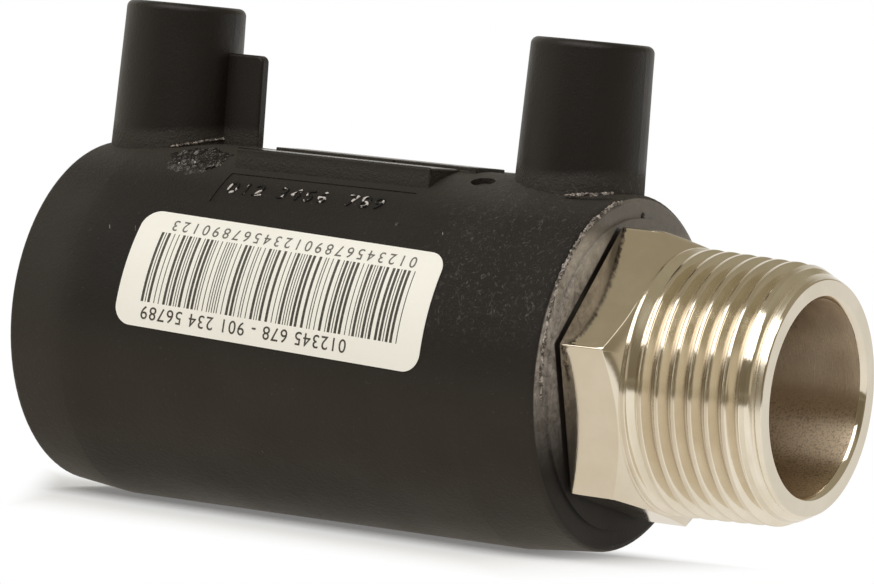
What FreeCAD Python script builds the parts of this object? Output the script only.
import FreeCAD, Part
import math
import os

# An electrofusion male adapter for a 32 mm polyethylene pipe, with a 1 inch taper thread.
# Millimetres. +X runs along the fitting towards the thread, and +Z up through the terminals.
# The origin is on the axis at the pipe stop, where the end of the pipe seats.

# Pipe socket
pipe_d = 32.0
socket_play = 0.4
socket_depth = 40.0
mouth_chamfer = 0.8
stop_length = 2.5
stop_bore_d = 26.0

# Moulded body
body_d = 47.0
mouth_d = 44.9
mouth_cone_length = 8.8
insert_half_length = 39.3
end_d = 45.1
end_cone_length = 10.7
edge_round = 0.9
boss_d = 39.4
boss_height = 0.4

# Gap left between pieces that the plastic was moulded around
moulded_gap = 0.02

# Wound liner and heating wire
liner_wall = 2.0
liner_lip = 2.0
wire_d = 0.6
wire_sides = 6
wire_play = 0.04
coil_pitch = 3.2
coil_turns = 8
lead_d = 0.8
lead_height = 3.8

# Terminals
left_terminal_inset = 8.15
right_terminal_inset = 9.2
terminal_height = 17.8
shroud_base_d = 16.5
shroud_top_d = 15.7
shroud_rim_round = 1.0
shroud_bore_d = 10.0
shroud_bore_chamfer = 0.5
shroud_depth = 15.5
pin_d = 4.7
pin_recess = 4.5
pin_tip_chamfer = 0.5
pin_flange_d = 7.2
pin_flange_length = 1.4
pin_stub_d = 3.4
pin_root_length = 4.8
pin_shoulder_d = 5.6
pin_flange_cover = 1.2
crimp_depth = 2.0

# Fin beside the left terminal
fin_thickness = 1.8
fin_reach = 5.3
fin_draft = 0.4
fin_drop = 5.85
fin_round = 0.4
fin_corner_round = 0.9

# Flat ledge along the top and the two low plates on it
ledge_start = 25.0
ledge_length = 29.5
ledge_half_width = 10.9
ledge_round = 0.35
plate_half_width = 3.6
plate_height = 0.4
first_plate_start = 26.4
first_plate_length = 18.0
plate_gap = 0.25
second_plate_length = 12.2
plate_round = 0.15

# Shallow bare field below the ledge
field_start = 25.6
field_length = 28.0
field_low_angle = 44.0
field_high_angle = 59.0
field_depth = 0.15

# Fusion indicator
indicator_start = 60.2
indicator_angle = 17.8
indicator_well_d = 3.2
indicator_well_depth = 2.2
indicator_d = 2.0
indicator_sink = 0.6
indicator_length = 4.0

# Threaded brass insert
insert_bore_d = 24.7
insert_bore_chamfer = 0.5
shank_d = 30.8
rib_d = 33.2
rib_pitch = 3.5
rib_rise = 2.6
rib_count = 4
rib_start = 3.5
collar_across_flats = 32.0
collar_start = 29.5
collar_length = 3.5
hex_gap = 0.7
hex_across_flats = 34.0
hex_turn = 11.0
hex_corner_length = 6.1
hex_back_chamfer = 0.25
hex_front_angle = 30.0
thread_gauge_d = 33.249
thread_gauge_length = 10.4
thread_taper = 1.0 / 16.0
thread_reach = 20.35
thread_lead_length = 3.3
thread_lead_drop = 1.65
thread_pitch = 2.309
thread_depth = 1.479
thread_angle = 55.0
thread_root_flat = 0.3
thread_overcut = 0.25
thread_first_crest = 2.2
thread_run_out = 2.4

# Sealing ring
ring_section_d = 1.8
ring_play = 0.02
ring_groove_play = 0.2
ring_start = 22.0

# Label
label_length = 46.0
label_height = 15.5
label_corner_round = 2.4
label_start = 17.4
label_angle = 16.8
label_tilt = -2.04
label_thickness = 0.1
glue_film = 0.02

# Worked out from the sizes above
body_r = body_d / 2
socket_r = (pipe_d + socket_play) / 2
mouth_x = -socket_depth
end_x = insert_half_length
boss_x = end_x + boss_height
liner_r = socket_r + liner_wall
shank_r = shank_d / 2
insert_bore_r = insert_bore_d / 2
left_terminal_x = mouth_x + left_terminal_inset
right_terminal_x = end_x - right_terminal_inset
terminal_top = body_r + terminal_height
shroud_floor = terminal_top - shroud_depth
pin_tip = terminal_top - pin_recess
pin_foot = shroud_floor - pin_root_length
wire_r = wire_d / 2
lead_r = lead_d / 2
coil_r = socket_r + wire_r
lead_z = socket_r + lead_height
coil_end_x = left_terminal_x + coil_pitch * coil_turns
hex_x = boss_x + hex_gap
hex_corner_r = hex_across_flats / math.sqrt(3)
hex_front_x = hex_x + hex_corner_length
tip_x = hex_front_x + thread_reach
ring_r = ring_section_d / 2
ring_x = stop_length + ring_start

X_AXIS = FreeCAD.Vector(1, 0, 0)
Z_AXIS = FreeCAD.Vector(0, 0, 1)
ORIGIN = FreeCAD.Vector(0, 0, 0)


def turned(profile):
    """Solid of revolution about the fitting's axis, from (x, radius) corners."""
    corners = [FreeCAD.Vector(x, 0, r) for x, r in profile]
    wire = Part.makePolygon(corners + corners[:1])
    return Part.Face(wire).revolve(ORIGIN, X_AXIS, 360)


def tube(x0, x1, outer_r, inner_r):
    return turned([(x0, inner_r), (x0, outer_r), (x1, outer_r), (x1, inner_r)])


def upright(x, z0, z1, r):
    return Part.makeCylinder(r, z1 - z0, FreeCAD.Vector(x, 0, z0), Z_AXIS)


def block(x0, x1, half_width, z0, z1):
    corner = FreeCAD.Vector(x0, -half_width, z0)
    return Part.makeBox(x1 - x0, 2 * half_width, z1 - z0, corner)


def sector(x0, x1, r0, r1, low_angle, high_angle):
    """Part of a ring about the axis. Angles rise from -Y towards +Z."""
    corners = [FreeCAD.Vector(x, -r, 0) for x, r in ((x0, r0), (x1, r0), (x1, r1), (x0, r1))]
    face = Part.Face(Part.makePolygon(corners + corners[:1]))
    face.rotate(ORIGIN, X_AXIS, -low_angle)
    return face.revolve(ORIGIN, X_AXIS, low_angle - high_angle)


def hex_prism(x0, x1, across_flats, turn):
    """Hexagonal bar along X with one corner at the angle turn, from -Y towards +Z."""
    r = across_flats / math.sqrt(3)
    angles = [math.radians(turn + 60 * k) for k in range(7)]
    corners = [FreeCAD.Vector(x0, -r * math.cos(a), r * math.sin(a)) for a in angles]
    return Part.Face(Part.makePolygon(corners)).extrude(FreeCAD.Vector(x1 - x0, 0, 0))


def edges_where(shape, test):
    """Edges whose middle point passes the test."""
    found = []
    for edge in shape.Edges:
        middle = edge.valueAt((edge.FirstParameter + edge.LastParameter) / 2)
        if test(middle):
            found.append(edge)
    return found


def swept_coil(section):
    """Sweeps a closed section along the heating coil and lays the coil on the X axis."""
    helix = Part.makeHelix(coil_pitch, coil_pitch * coil_turns, coil_r)
    coil = Part.Wire(helix.Edges).makePipeShell([section], True, True)
    coil.rotate(ORIGIN, FreeCAD.Vector(0, 1, 0), 90)
    coil.rotate(ORIGIN, X_AXIS, 180)
    coil.translate(FreeCAD.Vector(left_terminal_x, 0, 0))
    return coil


def coil_leads(play):
    """Leads from both ends of the coil to the feet of the terminal pins."""
    r = lead_r + play
    lead_foot = coil_r - wire_r - play
    lead_top = pin_foot + crimp_depth + play
    length = right_terminal_x - coil_end_x + 2 * r
    start = FreeCAD.Vector(coil_end_x - r, 0, lead_z)
    return upright(left_terminal_x, lead_foot, lead_top, r).fuse([
        upright(coil_end_x, lead_foot, lead_z + r, r),
        Part.makeCylinder(r, length, start, X_AXIS),
        upright(right_terminal_x, lead_z - r, lead_top, r),
    ])


def heating_coil():
    slope = math.atan2(coil_pitch, 2 * math.pi * coil_r)
    corners = []
    for k in range(wire_sides + 1):
        angle = 2 * math.pi * k / wire_sides
        out = coil_r + wire_r * math.cos(angle)
        across = wire_r * math.sin(angle)
        corners.append(FreeCAD.Vector(out, -across * math.sin(slope), across * math.cos(slope)))
    section = Part.makePolygon(corners)
    return swept_coil(section).fuse(coil_leads(0))


def fusion_liner():
    """Sleeve with the winding groove, moulded into the body around the pipe socket."""
    liner = tube(mouth_x + liner_lip, 0, liner_r, socket_r)
    half = (wire_d + wire_play) / 2
    inner = socket_r - wire_d
    outer = socket_r + wire_d + wire_play / 2
    corners = [(inner, -half), (outer, -half), (outer, half), (inner, half), (inner, -half)]
    section = Part.makePolygon([FreeCAD.Vector(r, 0, z) for r, z in corners])
    return liner.cut(swept_coil(section)).cut(coil_leads(moulded_gap))


def terminal_pin(x, play):
    """Contact pin: crimp stub at the foot, flange, shoulder and the post in the shroud."""
    flange_top = shroud_floor - pin_flange_cover + play
    flange_foot = flange_top - pin_flange_length - 2 * play
    pin = upright(x, pin_foot - play, flange_foot + play, pin_stub_d / 2 + play)
    pin = pin.fuse(upright(x, flange_foot, flange_top, pin_flange_d / 2 + play))
    pin = pin.fuse(upright(x, flange_top - play, shroud_floor, pin_shoulder_d / 2 + play))
    post = upright(x, flange_top - play, pin_tip, pin_d / 2 + play)
    tip = edges_where(post, lambda p: p.z > pin_tip - pin_tip_chamfer / 2)
    return pin.fuse(post.makeChamfer(pin_tip_chamfer, tip))


def crimped_pin(x):
    hole = upright(x, pin_foot - 1, pin_foot + crimp_depth + 2 * moulded_gap, lead_r + moulded_gap)
    return terminal_pin(x, 0).cut(hole)


def shroud(x):
    """Tapered round tower around one contact pin, with a rounded rim."""
    draft = (shroud_base_d - shroud_top_d) / 2 / terminal_height
    foot_z = socket_r
    foot_r = shroud_base_d / 2 + draft * (body_r - foot_z)
    height = terminal_top - foot_z
    tower = Part.makeCone(foot_r, shroud_top_d / 2, height, FreeCAD.Vector(x, 0, foot_z), Z_AXIS)
    rim = edges_where(tower, lambda p: p.z > terminal_top - 0.01)
    tower = tower.makeFillet(shroud_rim_round, rim)
    past_mouth = block(mouth_x - body_r, mouth_x, body_r, 0, terminal_top)
    return tower.cut(past_mouth)


def shroud_bore(x):
    mouth_r = shroud_bore_d / 2 + shroud_bore_chamfer
    bore = upright(x, shroud_floor, terminal_top + 1, shroud_bore_d / 2)
    foot = FreeCAD.Vector(x, 0, terminal_top - shroud_bore_chamfer)
    mouth = Part.makeCone(shroud_bore_d / 2, mouth_r, shroud_bore_chamfer, foot, Z_AXIS)
    return bore.fuse(mouth)


def fin():
    """Upright plate that braces the left terminal."""
    near_x = left_terminal_x + (shroud_bore_d + shroud_top_d) / 4
    far_x = left_terminal_x + shroud_top_d / 2 + fin_reach
    top = terminal_top - fin_drop
    foot = body_r - fin_thickness
    outline = [(near_x, foot), (far_x + fin_draft, foot), (far_x, top), (near_x, top)]
    corners = [FreeCAD.Vector(x, -fin_thickness / 2, z) for x, z in outline]
    plate = Part.Face(Part.makePolygon(corners + corners[:1])).extrude(FreeCAD.Vector(0, fin_thickness, 0))
    corner = edges_where(plate, lambda p: p.x > far_x - 0.01 and p.z > top - 0.01)
    plate = plate.makeFillet(fin_corner_round, corner)
    sides = edges_where(plate, lambda p: abs(p.y) > fin_thickness / 2 - 0.01 and p.z > foot + 0.01
                        and p.x > near_x + 0.01)
    return plate.makeFillet(fin_round, sides)


def ledge():
    """Flat level with the crown of the body, between the terminals."""
    x0 = mouth_x + ledge_start
    slab = block(x0, x0 + ledge_length, ledge_half_width, socket_r, body_r)
    rounded = edges_where(slab, lambda p: p.z > socket_r + 0.01)
    return slab.makeFillet(ledge_round, rounded)


def low_plates():
    """Two low plates in line on the crown."""
    x0 = mouth_x + first_plate_start
    x1 = x0 + first_plate_length
    x2 = x1 + plate_gap
    plates = []
    for low, high in ((x0, x1), (x2, x2 + second_plate_length)):
        plate = block(low, high, plate_half_width, body_r - 1, body_r + plate_height)
        rounded = edges_where(plate, lambda p: p.z > body_r - 0.9)
        plates.append(plate.makeFillet(plate_round, rounded))
    return plates


def body_outside():
    outline = [
        (mouth_x, 0),
        (mouth_x, mouth_d / 2),
        (mouth_x + mouth_cone_length, body_r),
        (end_x - end_cone_length, body_r),
        (end_x, end_d / 2),
        (end_x, boss_d / 2),
        (boss_x, boss_d / 2),
        (boss_x, 0),
    ]
    outside = turned(outline)
    rims = ((mouth_x, mouth_d / 2), (end_x, end_d / 2))
    edges = []
    for x, r in rims:
        edges += edges_where(outside, lambda p: abs(p.x - x) < 0.01 and abs(math.hypot(p.y, p.z) - r) < 0.01)
    return outside.makeFillet(edge_round, edges)


def socket_hollow():
    """Pipe socket, the seat of the liner and the stop between the pipe and the insert."""
    lip_x = mouth_x + liner_lip
    return turned([
        (mouth_x - 1, 0),
        (mouth_x - 1, socket_r + mouth_chamfer + 1),
        (mouth_x + mouth_chamfer, socket_r),
        (lip_x, socket_r),
        (lip_x, liner_r + moulded_gap),
        (0, liner_r + moulded_gap),
        (0, stop_bore_d / 2),
        (stop_length, stop_bore_d / 2),
        (stop_length, 0),
    ])


def shank(play):
    """Ribbed stem of the insert with its six-sided collar. The plastic takes the same form."""
    profile = [(stop_length, 0), (stop_length, shank_r + play)]
    for k in range(rib_count):
        foot_x = stop_length + rib_start + k * rib_pitch
        profile.append((foot_x, shank_r + play))
        profile.append((foot_x + rib_rise, rib_d / 2 + play))
        profile.append((foot_x + rib_rise, shank_r + play))
    profile += [(hex_x, shank_r + play), (hex_x, 0)]
    x0 = stop_length + collar_start
    collar = hex_prism(x0, x0 + collar_length, collar_across_flats + 2 * play, hex_turn)
    return turned(profile).fuse(collar)


def indicator(outer_r, inner_r, r):
    """Round bar square to the body's surface, between two distances from the axis."""
    x = mouth_x + indicator_start
    bar = upright(x, inner_r, outer_r, r)
    bar.rotate(ORIGIN, X_AXIS, indicator_angle)
    return bar


def indicator_top():
    return body_r - indicator_sink


def fusion_body():
    body = body_outside()
    body = body.fuse([shroud(left_terminal_x), shroud(right_terminal_x), fin(), ledge()] + low_plates())
    x0 = mouth_x + field_start
    field = sector(x0, x0 + field_length, body_r - field_depth, body_r + 1, field_low_angle, field_high_angle)
    pin_hole_r = indicator_d / 2 + moulded_gap
    hollows = [
        field,
        socket_hollow(),
        shank(moulded_gap),
        shroud_bore(left_terminal_x),
        shroud_bore(right_terminal_x),
        terminal_pin(left_terminal_x, moulded_gap),
        terminal_pin(right_terminal_x, moulded_gap),
        coil_leads(moulded_gap),
        indicator(body_r + 1, body_r - indicator_well_depth, indicator_well_d / 2),
        indicator(body_r, indicator_top() - indicator_length, pin_hole_r),
    ]
    return body.cut(hollows).removeSplitter()


def fusion_indicator():
    return indicator(indicator_top(), indicator_top() - indicator_length, indicator_d / 2)


def thread_r(x):
    """Crest radius of the taper thread, from the gauge plane."""
    gauge_x = tip_x - thread_gauge_length
    return thread_gauge_d / 2 + (gauge_x - x) * thread_taper / 2


def hexagon_nose_x():
    """Where the cone on the front of the hexagon meets the thread."""
    return hex_front_x + (hex_corner_r - thread_r(hex_front_x)) * math.tan(math.radians(hex_front_angle))


def hexagon():
    """Spanner hexagon with its corners turned off, front and back."""
    nose_x = hexagon_nose_x()
    blank = turned([
        (hex_x, 0),
        (hex_x, hex_corner_r - hex_back_chamfer),
        (hex_x + hex_back_chamfer, hex_corner_r),
        (hex_front_x, hex_corner_r),
        (nose_x, thread_r(hex_front_x)),
        (nose_x, 0),
    ])
    return hex_prism(hex_x, nose_x, hex_across_flats, hex_turn).common(blank)


def thread_groove(foot_x):
    """Right-hand helical groove on the taper, which fades out towards the hexagon at foot_x."""
    start_x = tip_x - thread_first_crest + 1.5 * thread_pitch
    turns = (start_x - foot_x) / thread_pitch
    crest_r = thread_r(start_x)
    cone_angle = math.degrees(math.atan(thread_taper / 2))
    helix = Part.makeLongHelix(thread_pitch, turns * thread_pitch, crest_r - thread_depth / 2, cone_angle)
    corners = []
    for side, height in ((-1, 0), (1, 0), (1, thread_depth + thread_overcut), (-1, thread_depth + thread_overcut)):
        half_width = thread_root_flat / 2 + height * math.tan(math.radians(thread_angle / 2))
        corners.append(FreeCAD.Vector(crest_r - thread_depth + height, 0, side * half_width))
    section = Part.makePolygon(corners + corners[:1])
    groove = Part.Wire(helix.Edges).makePipeShell([section], True, True)
    groove.rotate(ORIGIN, FreeCAD.Vector(0, 1, 0), -90)
    groove.rotate(ORIGIN, X_AXIS, 90)
    groove.translate(FreeCAD.Vector(start_x, 0, 0))
    end_x = foot_x + 2 * thread_run_out
    untouched = turned([
        (hex_x, 0),
        (hex_x, thread_r(hex_x) + thread_depth),
        (foot_x, thread_r(foot_x) + thread_overcut),
        (end_x, thread_r(foot_x) - 2 * thread_depth - thread_overcut),
        (end_x, 0),
    ])
    return groove.cut(untouched)


def threaded_insert():
    lead_x = tip_x - thread_lead_length
    nose = turned([
        (hex_x, 0),
        (hex_x, shank_r),
        (hex_front_x, thread_r(hex_front_x)),
        (lead_x, thread_r(lead_x)),
        (tip_x, thread_r(lead_x) - thread_lead_drop),
        (tip_x, 0),
    ])
    nose = nose.cut(thread_groove(hexagon_nose_x()))
    insert = shank(0).fuse([hexagon(), nose])
    bore = turned([
        (stop_length - 1, 0),
        (stop_length - 1, insert_bore_r),
        (tip_x - insert_bore_chamfer, insert_bore_r),
        (tip_x + 1, insert_bore_r + insert_bore_chamfer + 1),
        (tip_x + 1, 0),
    ])
    half = ring_r + ring_groove_play
    floor_r = shank_r - ring_section_d - 2 * ring_play
    ring_seat = tube(ring_x - half, ring_x + half, shank_r + 1, floor_r)
    return insert.cut([bore, ring_seat]).removeSplitter()


def seal_ring():
    centre_r = shank_r - ring_play - ring_r
    return Part.makeTorus(centre_r, ring_r, FreeCAD.Vector(ring_x, 0, 0), X_AXIS)


def barcode_label():
    """Thin label with rounded corners, wrapped on the cylinder and slightly out of square."""
    inner = body_r + glue_film
    centre_x = mouth_x + label_start + label_length / 2
    film = tube(centre_x - label_length, centre_x + label_length, inner + label_thickness, inner)
    corner = FreeCAD.Vector(-label_length / 2, -label_height / 2, 0)
    blank = Part.makeBox(label_length, label_height, body_r, corner)
    corners = edges_where(blank, lambda p: abs(p.z - body_r / 2) < 0.01)
    blank = blank.makeFillet(label_corner_round, corners)
    blank.translate(FreeCAD.Vector(0, 0, body_r / 2 + label_thickness + glue_film))
    blank.rotate(ORIGIN, Z_AXIS, label_tilt)
    blank.rotate(ORIGIN, X_AXIS, 90 - label_angle)
    blank.translate(FreeCAD.Vector(centre_x, 0, 0))
    return film.common(blank)


def sub_parts():
    return {
        "fusion_body": fusion_body(),
        "fusion_liner": fusion_liner(),
        "heating_coil": heating_coil(),
        "left_terminal_pin": crimped_pin(left_terminal_x),
        "right_terminal_pin": crimped_pin(right_terminal_x),
        "fusion_indicator": fusion_indicator(),
        "threaded_insert": threaded_insert(),
        "seal_ring": seal_ring(),
        "barcode_label": barcode_label(),
    }


os.makedirs("parts", exist_ok=True)
for name, shape in sub_parts().items():
    shape.exportStep(f"parts/{name}.step")
